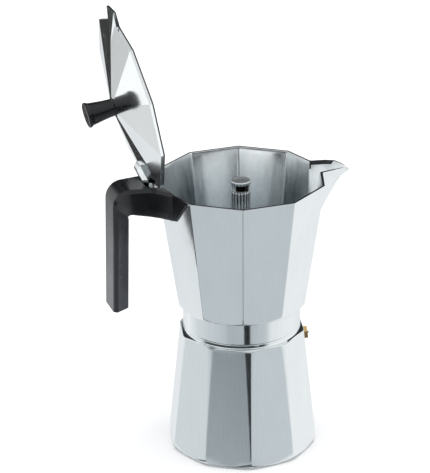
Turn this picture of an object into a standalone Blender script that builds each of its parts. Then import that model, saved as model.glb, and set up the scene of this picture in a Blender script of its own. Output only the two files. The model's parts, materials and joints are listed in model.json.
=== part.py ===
"""Ten-sided stove-top moka pot, lid open: boiler, funnel, collector, handle, lid and safety valve.

Frame: metres, +Z up, origin in the middle of the flat base.  The spout points along +X and the
handle along -X.  Run with: blender --background --python part.py
"""
import math

import bmesh
import bpy
from mathutils import Matrix, Vector

MM = 0.001
GAP = 0.3 * MM                      # clearance between touching pieces
SIDES = 10
SIDE_ANGLE = 2 * math.pi / SIDES
FLAT_RATIO = math.cos(SIDE_ANGLE / 2)   # apothem of the decagon over its corner radius
SHARP_ANGLE = math.radians(28)      # edges bent more than this are drawn crisp
LID_SHARP = math.radians(5)         # the lid's flats meet at less than eight degrees
ROUND = 40                          # segments of a large turned shape
SMALL = 16                          # segments of a small turned shape

# Boiler
BOILER_TURN = math.radians(5.35)    # where the thread stops, seen from above
FOOT_R = 53.3 * MM                  # corner radius just above the rounded foot
FOOT_Z = 6.9 * MM
FOOT_ROUND = 6.0 * MM
SHOULDER_R = 45.0 * MM              # corner radius at the conical shoulder
SHOULDER_Z = 87.8 * MM
BOILER_TOP = 91.8 * MM
BOILER_WALL = 3.6 * MM
NECK_R = 34.6 * MM
NECK_BORE = 31.5 * MM
NECK_TOP = 103.0 * MM

# Thread between boiler and collector
PITCH = 3.0 * MM
THREAD_TURNS = 2.25
THREAD_CREST = 36.0 * MM
COLLAR_BORE = 36.4 * MM
THREAD_Z = 94.6 * MM                # start of the male ridge

# Collector
RIM_R = 60.0 * MM
RIM_Z = 201.3 * MM
HEEL_R = 46.5 * MM                  # corner radius where the facets end
HEEL_Z = 111.9 * MM
COLLECTOR_WALL = 1.8 * MM
COLLAR_R = 41.4 * MM
COLLAR_Z = 92.4 * MM
FLOOR_Z = 113.4 * MM
SEAT_R = 35.4 * MM                  # seat of gasket and filter plate
SEAT_LOW = 104.0 * MM
SEAT_TOP = 108.7 * MM

# Spout of the collector
BEAK_LOW = 151.0 * MM
BEAK_TIP_Z = 195.5 * MM
BEAK_REACH = 17.5 * MM
BEAK_HOOK = 4.1 * MM
BEAK_HALF = 12.2 * MM               # half width of the mouth at the rim
BEAK_WALL = 1.7 * MM
LIP_START = 69.0 * MM
LIP_RADIUS = 14.7 * MM

# Column
COLUMN_R = 6.6 * MM
COLUMN_LOW_R = 7.4 * MM
COLUMN_BORE = 3.4 * MM
COLUMN_TOP = 191.2 * MM
COLUMN_FLUTES = 12
BOSS_R = 9.5 * MM
BOSS_TOP = 119.0 * MM
PLUG_R = 5.2 * MM
CAP_TOP = 198.3 * MM

# Lid, drawn closed and then opened about the hinge
HINGE_X = -64.7 * MM
HINGE_Z = 202.9 * MM
LID_OPEN = math.radians(100.9)
LID_R = 60.6 * MM
LID_LOW = RIM_Z + GAP
LID_SKIRT = 2.8 * MM
LID_RISE = 12.8 * MM
LID_WALL = 1.4 * MM
LID_SEAT_Z = 215.6 * MM
EYE_R = 3.0 * MM
EAR_R = 3.2 * MM
PIN_R = 1.25 * MM
PIN_HALF = 12.6 * MM

# Knob
KNOB_LOW = LID_SEAT_Z + GAP
KNOB_HEIGHT = 19.4 * MM
KNOB_BASE_R = 6.0 * MM
KNOB_TOP_R = 8.7 * MM

# Handle
HANDLE_TOP = 207.3 * MM
GRIP_OUT = 94.8 * MM                # distance of the grip's outer face from the axis
GRIP_LOW = 118.0 * MM
GRIP_THICK = 12.0 * MM
HANDLE_CORNER = 11.5 * MM
SLOT_BACK = -70.9 * MM              # wall of the hinge slot that stops the open lid
TAIL_HALF = 4.2 * MM                # half width of the lid's lug
EYE_HALF = 3.9 * MM

# Safety valve: on the flat next to the spout
VALVE_ANGLE = BOILER_TURN - SIDE_ANGLE / 2
VALVE_Z = 79.5 * MM

COLORS = {
    "aluminium": ((0.66, 0.68, 0.69), 0.24, 1.0),
    "inner_aluminium": ((0.48, 0.50, 0.51), 0.36, 1.0),
    "black_plastic": ((0.018, 0.018, 0.020), 0.34, 0.0),
    "brass": ((0.62, 0.38, 0.13), 0.30, 1.0),
    "steel": ((0.56, 0.56, 0.57), 0.28, 1.0),
    "rubber": ((0.82, 0.80, 0.74), 0.62, 0.0),
}


# ---------------------------------------------------------------- scene helpers

def clear_scene():
    for obj in list(bpy.data.objects):
        bpy.data.objects.remove(obj, do_unlink=True)


def make_collection(name):
    collection = bpy.data.collections.new(name)
    bpy.context.scene.collection.children.link(collection)
    return collection


def make_materials():
    materials = {}
    for name, (color, roughness, metallic) in COLORS.items():
        material = bpy.data.materials.new(name)
        material.use_nodes = True
        shader = material.node_tree.nodes["Principled BSDF"]
        shader.inputs["Base Color"].default_value = (*color, 1.0)
        shader.inputs["Roughness"].default_value = roughness
        shader.inputs["Metallic"].default_value = metallic
        materials[name] = material
    return materials


def move_to(obj, collection):
    for old in list(obj.users_collection):
        old.objects.unlink(obj)
    collection.objects.link(obj)


def new_object(name, bm):
    mesh = bpy.data.meshes.new(name)
    bm.to_mesh(mesh)
    bm.free()
    obj = bpy.data.objects.new(name, mesh)
    bpy.context.scene.collection.objects.link(obj)
    return obj


def finish(obj, material, sharp=SHARP_ANGLE):
    """Freeze a piece's modifiers; give it its material, its shading and its collection."""
    piece = apply_modifiers(obj)
    piece.data.materials.clear()
    piece.data.materials.append(MATERIALS[material])
    piece.data.shade_smooth()
    piece.data.set_sharp_from_angle(angle=sharp)
    move_to(piece, PARTS)
    return piece


def boolean(obj, operation, other):
    """Add an exact Boolean and put its operand away among the cutters."""
    modifier = obj.modifiers.new(operation.lower() + "_" + other.name, "BOOLEAN")
    modifier.operation = operation
    modifier.solver = "EXACT"
    modifier.object = other
    other.hide_render = True
    other.display_type = "WIRE"
    move_to(other, CUTTERS)
    return obj


def cut(obj, *others):
    for other in others:
        boolean(obj, "DIFFERENCE", other)
    return obj


def join(obj, *others):
    for other in others:
        boolean(obj, "UNION", other)
    return obj


def keep_inside(obj, other):
    return boolean(obj, "INTERSECT", other)


def apply_modifiers(obj):
    """Replace an object by its evaluated mesh, with its open ends closed."""
    depsgraph = bpy.context.evaluated_depsgraph_get()
    mesh = bpy.data.meshes.new_from_object(obj.evaluated_get(depsgraph))
    bm = bmesh.new()
    bm.from_mesh(mesh)
    bmesh.ops.remove_doubles(bm, verts=bm.verts, dist=0.01 * MM)
    open_edges = [edge for edge in bm.edges if edge.is_boundary]
    bmesh.ops.holes_fill(bm, edges=open_edges, sides=0)
    bmesh.ops.recalc_face_normals(bm, faces=bm.faces)
    name, place = obj.name, obj.matrix_world.copy()
    bpy.data.objects.remove(obj, do_unlink=True)
    solid = new_object(name, bm)
    solid.matrix_world = place
    return solid


# ---------------------------------------------------------------- shape helpers

def turned(name, profile, steps=ROUND, center=(0, 0, 0), axis=(0, 0, 1)):
    """Turn a profile of (radius, height) points; it closes on itself or on the axis."""
    points = [Vector((radius, 0, height)) for radius, height in profile]
    area = sum(a.x * b.z - b.x * a.z for a, b in zip(points, points[1:] + points[:1]))
    if area > 0:
        points.reverse()
    bm = bmesh.new()
    verts = [bm.verts.new(point) for point in points]
    for first, second in zip(verts, verts[1:]):
        bm.edges.new((first, second))
    if points[0].x > 0 or points[-1].x > 0:
        bm.edges.new((verts[-1], verts[0]))
    obj = new_object(name, bm)
    screw = obj.modifiers.new("turn", "SCREW")
    screw.axis = "Z"
    screw.angle = 2 * math.pi
    screw.steps = steps
    screw.render_steps = steps
    screw.use_merge_vertices = True
    screw.merge_threshold = 0.01 * MM
    screw.use_normal_calculate = False
    obj.rotation_euler = Vector(axis).to_track_quat("Z", "Y").to_euler()
    obj.location = center
    return obj


def decagon(name, low_r, low_z, top_r, top_z, turn=0.0):
    """Ten-sided frustum with one corner on +X, turned about Z."""
    bpy.ops.mesh.primitive_cone_add(
        vertices=SIDES, radius1=low_r, radius2=top_r, depth=top_z - low_z,
        location=(0, 0, (low_z + top_z) / 2), rotation=(0, 0, turn - math.pi / 2))
    obj = bpy.context.object
    obj.name = name
    return obj


def cylinder(name, radius, low, high, center=(0, 0, 0), axis=(0, 0, 1), steps=SMALL):
    """Cylinder between two heights along an axis through center."""
    direction = Vector(axis).normalized()
    bpy.ops.mesh.primitive_cylinder_add(
        vertices=steps, radius=radius, depth=high - low,
        location=Vector(center) + direction * (low + high) / 2,
        rotation=direction.to_track_quat("Z", "Y").to_euler())
    obj = bpy.context.object
    obj.name = name
    return obj


def box(name, x, y, z):
    """Box between two coordinates on each axis."""
    bpy.ops.mesh.primitive_cube_add(
        size=1, location=[(low + high) / 2 for low, high in (x, y, z)])
    obj = bpy.context.object
    obj.name = name
    obj.scale = [high - low for low, high in (x, y, z)]
    return obj


def plate_xz(name, outline, half_width):
    """Outline of (x, z) points made solid between -half_width and +half_width in Y."""
    bm = bmesh.new()
    face = bm.faces.new([bm.verts.new((x, -half_width, z)) for x, z in outline])
    moved = bmesh.ops.extrude_face_region(bm, geom=[face])["geom"]
    verts = [item for item in moved if isinstance(item, bmesh.types.BMVert)]
    bmesh.ops.translate(bm, verts=verts, vec=(0, 2 * half_width, 0))
    bmesh.ops.recalc_face_normals(bm, faces=bm.faces)
    return new_object(name, bm)


def loft(name, rings):
    """Closed solid through rings with the same number of points."""
    bm = bmesh.new()
    rows = [[bm.verts.new(point) for point in ring] for ring in rings]
    count = len(rows[0])
    for low, high in zip(rows, rows[1:]):
        for i in range(count):
            j = (i + 1) % count
            bm.faces.new((low[i], low[j], high[j], high[i]))
    bm.faces.new(rows[0])
    bm.faces.new(rows[-1])
    bmesh.ops.recalc_face_normals(bm, faces=bm.faces)
    return new_object(name, bm)


def hull(name, points):
    """Convex solid through a few corner points."""
    bm = bmesh.new()
    for point in points:
        bm.verts.new(point)
    result = bmesh.ops.convex_hull(bm, input=bm.verts)
    loose = [item for item in result["geom_interior"] if isinstance(item, bmesh.types.BMVert)]
    bmesh.ops.delete(bm, geom=loose, context="VERTS")
    bmesh.ops.recalc_face_normals(bm, faces=bm.faces)
    return new_object(name, bm)


def arc(center, radius, start, end, count):
    """Points on a circular arc; angles in degrees."""
    angles = [math.radians(start + (end - start) * i / count) for i in range(count + 1)]
    return [(center[0] + radius * math.cos(a), center[1] + radius * math.sin(a)) for a in angles]


def thread_ridge(name, root_r, crest_r, start_z, turns):
    """Trapezoid ridge of one right-hand thread."""
    depth = abs(crest_r - root_r)
    root_half = 0.35 * MM + 0.32 * depth
    crest_half = 0.35 * MM
    profile = [(root_r, -root_half), (crest_r, -crest_half), (crest_r, crest_half), (root_r, root_half)]
    bm = bmesh.new()
    verts = [bm.verts.new((radius, 0, start_z + height)) for radius, height in profile]
    for i in range(len(verts)):
        bm.edges.new((verts[i], verts[(i + 1) % len(verts)]))
    obj = new_object(name, bm)
    screw = obj.modifiers.new("helix", "SCREW")
    screw.axis = "Z"
    screw.angle = 2 * math.pi * turns
    screw.screw_offset = PITCH * turns
    screw.steps = int(ROUND * turns)
    screw.render_steps = int(ROUND * turns)
    screw.merge_threshold = 0.01 * MM
    return apply_modifiers(obj)


def facet_radius(z):
    """Corner radius of the collector's facets at a height."""
    return HEEL_R + (RIM_R - HEEL_R) * (z - HEEL_Z) / (RIM_Z - HEEL_Z)


def boiler_radius(z):
    """Corner radius of the boiler's facets at a height."""
    return FOOT_R + (SHOULDER_R - FOOT_R) * (z - FOOT_Z) / (SHOULDER_Z - FOOT_Z)


def corner_offset(wall):
    """How much smaller the corner radius gets when every flat moves in by wall."""
    return wall / FLAT_RATIO


# ---------------------------------------------------------------- boiler and funnel

def boiler_envelope():
    """Turned shape that rounds the foot and slopes the shoulder of the ten-sided body."""
    foot = arc((FOOT_R + 0.15 * MM - FOOT_ROUND, FOOT_ROUND), FOOT_ROUND, 0, -90, 6)
    outside = 56 * MM
    slope = 0.4
    slope_low = SHOULDER_Z - slope * (outside - SHOULDER_R)
    step_r = SHOULDER_R - 3.4 * MM
    profile = [(0, BOILER_TOP), (step_r - 1.8 * MM, BOILER_TOP), (step_r, SHOULDER_Z + slope * 3.4 * MM),
               (outside, slope_low), (outside, 9 * MM)]
    return turned("boiler_envelope", profile + foot + [(0, 0)], steps=60)


def make_boiler():
    boiler = decagon("boiler", boiler_radius(-1 * MM), -1 * MM, boiler_radius(94 * MM), 94 * MM, BOILER_TURN)
    keep_inside(boiler, boiler_envelope())
    neck = [(0, NECK_TOP), (NECK_R, NECK_TOP), (NECK_R, 90 * MM), (0, 90 * MM)]
    join(boiler, turned("neck", neck))
    join(boiler, thread_ridge("male_thread", NECK_R - 0.5 * MM, THREAD_CREST, THREAD_Z, THREAD_TURNS))
    wall_r = FLAT_RATIO * boiler_radius(84 * MM) - BOILER_WALL
    floor_r = FLAT_RATIO * boiler_radius(9 * MM) - BOILER_WALL
    cavity = [(0, NECK_TOP + 1 * MM), (NECK_BORE, NECK_TOP + 1 * MM), (NECK_BORE, 88.5 * MM),
              (wall_r, 82 * MM), (floor_r, 9 * MM), (floor_r - 4.5 * MM, 4 * MM), (0, 4 * MM)]
    cut(boiler, turned("boiler_cavity", cavity))
    center, normal = valve_place()
    cut(boiler, cylinder("valve_hole", 3.7 * MM, -12 * MM, 6 * MM, center, normal, 20))
    return finish(boiler, "aluminium")


def make_funnel():
    """Basket, cone and stem drawn from one sheet."""
    wall = 0.9 * MM
    basket_r = NECK_BORE - 0.6 * MM
    stem_r = 4.5 * MM
    flange = NECK_TOP + GAP
    profile = [
        (basket_r + 3.0 * MM, flange + wall), (basket_r + 3.0 * MM, flange), (basket_r, flange),
        (basket_r, 82 * MM), (basket_r - 3 * MM, 80 * MM), (stem_r + 2 * MM, 76 * MM), (stem_r, 73 * MM),
        (stem_r, 9 * MM), (stem_r - wall, 9 * MM), (stem_r - wall, 73.4 * MM),
        (stem_r + 1.4 * MM, 76.9 * MM), (basket_r - 3.4 * MM, 80.9 * MM), (basket_r - wall, 82.5 * MM),
        (basket_r - wall, flange + wall)]
    return finish(turned("funnel", profile), "inner_aluminium")


def perforated_disc(name, radius, low, high, rings, hole_r):
    """Flat disc with rings of round holes, given as (radius, count)."""
    disc = turned(name, [(0, high), (radius, high), (radius, low), (0, low)])
    bm = bmesh.new()
    for ring_r, count in rings:
        for i in range(count):
            angle = 2 * math.pi * (i + 0.5) / count
            place = Matrix.Translation((ring_r * math.cos(angle), ring_r * math.sin(angle), (low + high) / 2))
            bmesh.ops.create_cone(bm, cap_ends=True, segments=6, radius1=hole_r, radius2=hole_r,
                                  depth=(high - low) * 3, matrix=place)
    cut(disc, new_object(name + "_holes", bm))
    return disc


def make_funnel_plate():
    plate = perforated_disc("funnel_plate", 29.4 * MM, 83.2 * MM, 84.0 * MM,
                            [(7 * MM, 6), (15 * MM, 11), (23 * MM, 16)], 1.2 * MM)
    return finish(plate, "inner_aluminium")


def make_gasket():
    low = NECK_TOP + GAP + 0.9 * MM + GAP
    profile = [(35 * MM, low + 2.6 * MM), (35 * MM, low), (27.5 * MM, low), (27.5 * MM, low + 2.6 * MM)]
    return finish(turned("gasket", profile), "rubber")


def make_filter_plate():
    low = NECK_TOP + 1.5 * MM + 2.6 * MM + GAP
    plate = perforated_disc("filter_plate", 35 * MM, low, low + 0.8 * MM,
                            [(7 * MM, 6), (14.5 * MM, 12), (22 * MM, 18)], 1.1 * MM)
    return finish(plate, "inner_aluminium")


# ---------------------------------------------------------------- safety valve

def valve_place():
    """Point on the boiler's flat and its outward normal."""
    apothem = FLAT_RATIO * boiler_radius(VALVE_Z)
    lean = math.atan2(FLAT_RATIO * (FOOT_R - SHOULDER_R), SHOULDER_Z - FOOT_Z)
    flat = Vector((math.cos(VALVE_ANGLE), math.sin(VALVE_ANGLE), 0))
    center = flat * apothem + Vector((0, 0, VALVE_Z))
    normal = flat * math.cos(lean) + Vector((0, 0, math.sin(lean)))
    return center, normal


def valve_turned(name, profile, material):
    """Turned valve piece; heights count outward from the flat."""
    center, normal = valve_place()
    scaled = [(radius * MM, height * MM) for radius, height in profile]
    return finish(turned(name, scaled, 20, center, normal), material)


def make_valve():
    center, normal = valve_place()
    body = cylinder("valve_body", 4.9 * MM, 0.3 * MM, 3.3 * MM, center, normal, 6)
    join(body, cylinder("valve_stub", 3.4 * MM, -6.2 * MM, 1.5 * MM, center, normal, 20))
    cut(body, cylinder("valve_bore", 2.4 * MM, -7 * MM, 2.3 * MM, center, normal, 20))
    cut(body, cylinder("valve_front", 1.2 * MM, 1 * MM, 5 * MM, center, normal, 16))
    finish(body, "brass")
    pin = [(0, 4.4), (0.85, 4.4), (0.85, -3.0), (2.0, -3.0), (2.0, -3.6), (0, -3.6)]
    valve_turned("valve_pin", pin, "steel")
    valve_turned("valve_seal", [(1.9, -3.9), (1.9, -4.5), (0, -4.5), (0, -3.9)], "rubber")
    valve_turned("valve_retainer", [(2.1, -4.8), (2.1, -6.0), (0.9, -6.0), (0.9, -4.8)], "brass")
    make_valve_spring(center, normal)


def make_valve_spring(center, normal):
    """Coil between the piston's disc and the inside of the hexagon's face."""
    coils = 4
    low, high = -2.45 * MM, 1.75 * MM
    per_coil = 12
    curve = bpy.data.curves.new("valve_spring", "CURVE")
    curve.dimensions = "3D"
    curve.bevel_depth = 0.22 * MM
    curve.bevel_resolution = 1
    curve.use_fill_caps = True
    spline = curve.splines.new("POLY")
    spline.points.add(coils * per_coil)
    for i, point in enumerate(spline.points):
        angle = 2 * math.pi * i / per_coil
        height = low + (high - low) * i / (coils * per_coil)
        point.co = (1.6 * MM * math.cos(angle), 1.6 * MM * math.sin(angle), height, 1)
    obj = bpy.data.objects.new("valve_spring", curve)
    bpy.context.scene.collection.objects.link(obj)
    obj.rotation_euler = normal.to_track_quat("Z", "Y").to_euler()
    obj.location = center
    obj.data.materials.append(MATERIALS["steel"])
    move_to(obj, PARTS)


# ---------------------------------------------------------------- collector

def keel_x(z):
    """How far the spout's lower edge stands out at a height."""
    up = max(0.0, (z - BEAK_LOW) / (BEAK_TIP_Z - BEAK_LOW))
    hook = max(0.0, (z - (BEAK_TIP_Z - 5.5 * MM)) / (5.5 * MM))
    hook = min(hook, 1.0) ** 3 + max(0.0, hook - 1.0)
    return facet_radius(z) + BEAK_REACH * up ** 1.38 + BEAK_HOOK * hook


def beak_section(z, half, nose, root_in):
    """One level of the spout: a bowed V from the facets out to its nose."""
    root = facet_radius(z) - half * math.tan(SIDE_ANGLE / 2) - 0.3 * MM
    bend = Vector((root + 0.78 * (nose - root), 0.62 * half))
    side = []
    for i in range(7):
        t = i / 6
        point = Vector((root, half)) * (1 - t) ** 2 + bend * 2 * t * (1 - t) + Vector((nose, 0)) * t ** 2
        side.append(point)
    left = [(p.x, p.y, z) for p in side]
    right = [(p.x, -p.y, z) for p in reversed(side[:-1])]
    return [(root - root_in, half, z)] + left + right + [(root - root_in, -half, z)]


def beak(name, wall, low, top, root_in):
    """Spout body, or its channel when wall is more than zero."""
    rings = []
    levels = 12
    for i in range(levels + 1):
        z = low + (top - low) * i / levels
        up = (z - low) / (RIM_Z - low)
        half = 0.4 * MM + (BEAK_HALF - 0.4 * MM - wall) * up ** 0.85
        rings.append(beak_section(z, half, keel_x(z) - 1.6 * wall, root_in))
    return loft(name, rings)


def rim_cutter():
    """Everything above the rim and above the drooping lips of the spout."""
    center = (LIP_START, RIM_Z - LIP_RADIUS)
    droop = arc(center, LIP_RADIUS, 90, 20, 10)
    outline = [(-75 * MM, RIM_Z)] + droop + [(95 * MM, 190 * MM), (95 * MM, 215 * MM), (-75 * MM, 215 * MM)]
    return plate_xz("rim_cutter", outline, 70 * MM)


def collector_shell():
    outer = decagon("collector", facet_radius(106 * MM), 106 * MM, facet_radius(205 * MM), 205 * MM)
    heel = arc((HEEL_R + 0.3 * MM - 5 * MM, HEEL_Z + 1.2 * MM), 5 * MM, 0, -80, 6)
    envelope = [(0, 210 * MM), (66 * MM, 210 * MM), (66 * MM, 125 * MM), (HEEL_R + 1.4 * MM, 117 * MM)]
    keep_inside(outer, turned("heel_envelope", envelope + heel + [(0, heel[-1][1])], steps=60))
    collar = [(0, 111.5 * MM), (COLLAR_R, 111.5 * MM), (COLLAR_R, COLLAR_Z), (0, COLLAR_Z)]
    join(outer, turned("collar", collar, steps=48))
    join(outer, beak("beak", 0.0, BEAK_LOW, 204 * MM, 4 * MM))
    return outer


def collector_cavity():
    wall = corner_offset(COLLECTOR_WALL)
    return decagon("collector_cavity", facet_radius(FLOOR_Z) - wall, FLOOR_Z,
                   facet_radius(208 * MM) - wall, 208 * MM)


def hinge_ears():
    """Two ears that carry the hinge pin, each on a web to the rim."""
    ears = []
    for side in (-1, 1):
        y = sorted((side * 4.3 * MM, side * 8.3 * MM))
        ear = cylinder("ear", EAR_R, y[0], y[1], (HINGE_X, 0, HINGE_Z), (0, 1, 0), 24)
        join(ear, box("ear_web", (HINGE_X - 1.2 * MM, -56.2 * MM), y, (199.3 * MM, 200.9 * MM)))
        ears.append(apply_modifiers(ear))
    return ears


def make_collector():
    collector = collector_shell()
    join(collector, *hinge_ears())
    join(collector, box("handle_lug", (-68 * MM, -57.2 * MM), (-6 * MM, 6 * MM), (190 * MM, 196.9 * MM)))
    cut(collector, rim_trim(), collector_cavity())
    cut(collector, beak("beak_channel", BEAK_WALL, BEAK_LOW + 7 * MM, 206 * MM, 12 * MM))
    boss = [(0, BOSS_TOP), (BOSS_R - 1.5 * MM, BOSS_TOP), (BOSS_R, BOSS_TOP - 1.5 * MM),
            (BOSS_R + 2.5 * MM, FLOOR_Z - 1 * MM), (0, FLOOR_Z - 1 * MM)]
    join(collector, turned("boss", boss, steps=24))
    bore = [(0, BOSS_TOP + 1 * MM), (PLUG_R + GAP, BOSS_TOP + 1 * MM), (PLUG_R + GAP, 111.0 * MM),
            (27 * MM, SEAT_TOP), (SEAT_R, SEAT_TOP), (SEAT_R, SEAT_LOW), (COLLAR_BORE, SEAT_LOW - 0.4 * MM),
            (COLLAR_BORE, COLLAR_Z - 1 * MM), (0, COLLAR_Z - 1 * MM)]
    cut(collector, turned("collar_bore", bore))
    join(collector, thread_ridge("female_thread", COLLAR_BORE + 0.5 * MM, THREAD_CREST - 1 * MM,
                                 THREAD_Z + PITCH / 2, THREAD_TURNS - 0.25))
    cut(collector, cylinder("ear_hole", PIN_R + GAP, -20 * MM, 20 * MM, (HINGE_X, 0, HINGE_Z), (0, 1, 0)))
    cut(collector, cylinder("lug_hole", 2.2 * MM, 185 * MM, 195.9 * MM, (-64 * MM, 0, 0)))
    return finish(collector, "aluminium")


def rim_trim():
    """The rim cutter, opened round the hinge ears, which stand above the rim."""
    trim = rim_cutter()
    keep = box("ear_room", (-76 * MM, -60.9 * MM), (-10 * MM, 10 * MM), (195 * MM, 212 * MM))
    return apply_modifiers(cut(trim, keep))


def fluted_ring(radius, depth, z):
    """Ring of hollow flutes between narrow ribs; depth 0 gives a plain circle."""
    count = COLUMN_FLUTES * 6
    ring = []
    for i in range(count):
        angle = 2 * math.pi * i / count
        r = radius - depth * (1 - abs(math.cos(COLUMN_FLUTES * angle / 2)))
        ring.append((r * math.cos(angle), r * math.sin(angle), z))
    return ring


def make_column():
    """Fluted spout column, pressed into the boss of the floor."""
    low = BOSS_TOP + GAP
    depth = 0.75 * MM
    rings = [fluted_ring(COLUMN_LOW_R, depth, low), fluted_ring(COLUMN_R, depth, COLUMN_TOP - 4.0 * MM),
             fluted_ring(COLUMN_R, 0.0, COLUMN_TOP - 3.2 * MM), fluted_ring(COLUMN_R, 0.0, COLUMN_TOP)]
    column = loft("column", rings)
    plug = [(0, low + 1 * MM), (PLUG_R, low + 1 * MM), (PLUG_R, 111.6 * MM), (0, 111.6 * MM)]
    join(column, turned("column_plug", plug, steps=24))
    bore = [(0, COLUMN_TOP + 1 * MM), (5.0 * MM, COLUMN_TOP + 1 * MM), (5.0 * MM, 186 * MM),
            (COLUMN_BORE, 184.4 * MM), (COLUMN_BORE, 110 * MM), (0, 110 * MM)]
    cut(column, turned("column_bore", bore, steps=20))
    return finish(column, "aluminium")


def make_column_cap():
    """Smooth crown with two side windows; its spigot sits in the column."""
    low = COLUMN_TOP + GAP
    outer = [(0, CAP_TOP), (COLUMN_R - 1.4 * MM, CAP_TOP), (COLUMN_R, CAP_TOP - 0.9 * MM),
             (COLUMN_R, low), (4.6 * MM, low), (4.6 * MM, 186.8 * MM), (0, 186.8 * MM)]
    cap = turned("column_cap", outer, steps=32)
    inner = [(0, CAP_TOP - 1.3 * MM), (COLUMN_R - 1.3 * MM, CAP_TOP - 1.6 * MM),
             (COLUMN_R - 1.3 * MM, low + 0.9 * MM), (3.6 * MM, low + 0.5 * MM),
             (3.6 * MM, 186 * MM), (0, 186 * MM)]
    cut(cap, turned("cap_bore", inner, steps=24))
    window = box("cap_window", (-5.0 * MM, 5.0 * MM), (-9 * MM, 9 * MM),
                 (low + 0.9 * MM, CAP_TOP - 1.6 * MM))
    window.rotation_euler = (0, 0, -SIDE_ANGLE / 2)
    cut(cap, window)
    return finish(cap, "aluminium")


# ---------------------------------------------------------------- handle

def handle_section(outer, inner, outer_half, inner_half):
    """Eight-sided section between a point on the outer face and one on the inner face."""
    outer = Vector(outer)
    inner = Vector(inner)
    depth = (inner - outer).normalized()
    chamfer = 2.3 * MM
    small = 1.0 * MM
    ring = []
    for point, half in ((outer, outer_half - chamfer), (outer + depth * chamfer, outer_half),
                        (inner - depth * small, inner_half), (inner, inner_half - small)):
        ring.append((point.x, half, point.y))
    return ring + [(x, -y, z) for x, y, z in reversed(ring)]


def handle_body():
    """Arm, corner and grip lofted from the pot outward and down."""
    top = HANDLE_TOP
    corner = (-GRIP_OUT + HANDLE_CORNER + 0.2 * MM, top - HANDLE_CORNER)
    inside = (-83.2 * MM, 187.2 * MM)
    sections = [
        handle_section((-48 * MM, top - 5.0 * MM), (-47 * MM, 181.0 * MM), 23.6 * MM, 20.0 * MM),
        handle_section((-56 * MM, top - 3.4 * MM), (-55 * MM, 182.6 * MM), 20.2 * MM, 16.4 * MM),
        handle_section((-63 * MM, top - 1.6 * MM), (-62 * MM, 183.8 * MM), 16.8 * MM, 12.4 * MM),
        handle_section((-70 * MM, top - 0.2 * MM), (-69 * MM, 185.0 * MM), 14.6 * MM, 9.8 * MM),
        handle_section((corner[0] + 2 * MM, top), (inside[0] + 3 * MM, inside[1]), 12.8 * MM, 8.2 * MM)]
    for i, (x, z) in enumerate(arc(corner, HANDLE_CORNER, 95, 175, 6)):
        fan = i / 6
        inner = (inside[0] + 1.2 * MM * (1 - fan), inside[1] - 1.2 * MM * fan)
        sections.append(handle_section((x, z), inner, (12.5 - 1.0 * fan) * MM, (8.0 - 0.6 * fan) * MM))
    grip_x = -GRIP_OUT
    sections += [
        handle_section((grip_x, 184 * MM), (grip_x + GRIP_THICK, 184 * MM), 11.4 * MM, 7.4 * MM),
        handle_section((grip_x - 0.9 * MM, 150 * MM), (grip_x + GRIP_THICK - 1.0 * MM, 150 * MM),
                       11.3 * MM, 7.0 * MM),
        handle_section((grip_x - 1.7 * MM, GRIP_LOW), (grip_x + GRIP_THICK - 1.8 * MM, GRIP_LOW),
                       11.2 * MM, 6.6 * MM)]
    return loft("handle", sections)


def handle_wing(side):
    """Tapering wing that follows the flat of the collector towards its next corner."""
    flat = math.pi - side * SIDE_ANGLE / 2
    normal = Vector((math.cos(flat), math.sin(flat), 0))
    along = Vector((-normal.y, normal.x, 0)) * -side
    points = []
    for distance, z, thick in ((14 * MM, 203.0 * MM, 2.6 * MM), (19.6 * MM, 202.4 * MM, 2.4 * MM),
                               (14 * MM, 181.8 * MM, 2.6 * MM), (18.6 * MM, 183.4 * MM, 1.6 * MM),
                               (34.0 * MM, 201.0 * MM, 1.2 * MM), (33.6 * MM, 199.9 * MM, 1.2 * MM)):
        middle = FLAT_RATIO * facet_radius(z)
        corner_shift = math.sin(SIDE_ANGLE / 2) * facet_radius(z)
        base = normal * middle + along * (distance - corner_shift) + Vector((0, 0, z))
        points += [base - normal * 2 * MM, base + normal * thick]
    return hull("handle_wing", points)


def make_handle():
    handle = handle_body()
    join(handle, handle_wing(1), handle_wing(-1))
    gap = corner_offset(GAP)
    pot = decagon("handle_fit", facet_radius(170 * MM) + gap, 170 * MM,
                  facet_radius(215 * MM) + gap, 215 * MM)
    lid_room = decagon("lid_room", LID_R + gap, RIM_Z, LID_R + gap, 215 * MM)
    cut(handle, pot, lid_room)
    cut(handle, box("hinge_slot", (SLOT_BACK, -40 * MM), (-8.9 * MM, 8.9 * MM), (198.9 * MM, 215 * MM)))
    cut(handle, box("lug_pocket", (-68.5 * MM, -40 * MM), (-6.5 * MM, 6.5 * MM), (189.6 * MM, 199.5 * MM)))
    pin_start = -PIN_HALF - GAP
    cut(handle, cylinder("pin_hole", PIN_R + GAP, pin_start, 25 * MM, (HINGE_X, 0, HINGE_Z), (0, 1, 0)))
    screw_axis = (-64 * MM, 0, 0)
    cut(handle, cylinder("screw_hole", 2.2 * MM, 180 * MM, 192 * MM, screw_axis))
    cut(handle, cylinder("screw_head_room", 3.9 * MM, 175 * MM, 187.0 * MM, screw_axis, steps=20))
    return finish(handle, "black_plastic")


def make_handle_screw():
    """Pan head screw from below into the collector's lug."""
    profile = [(0, 195.4 * MM), (1.9 * MM, 195.4 * MM), (1.9 * MM, 186.7 * MM), (3.5 * MM, 186.7 * MM),
               (3.5 * MM, 185.2 * MM), (2.6 * MM, 184.5 * MM), (0, 184.5 * MM)]
    screw = turned("handle_screw", profile, SMALL, (-64 * MM, 0, 0))
    for turn in (0, math.pi / 2):
        slot = box("screw_slot", (-1.9 * MM, 1.9 * MM), (-0.4 * MM, 0.4 * MM), (183 * MM, 185.6 * MM))
        slot.location.x = -64 * MM
        slot.rotation_euler = (0, 0, turn)
        cut(screw, slot)
    return finish(screw, "steel")


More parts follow.
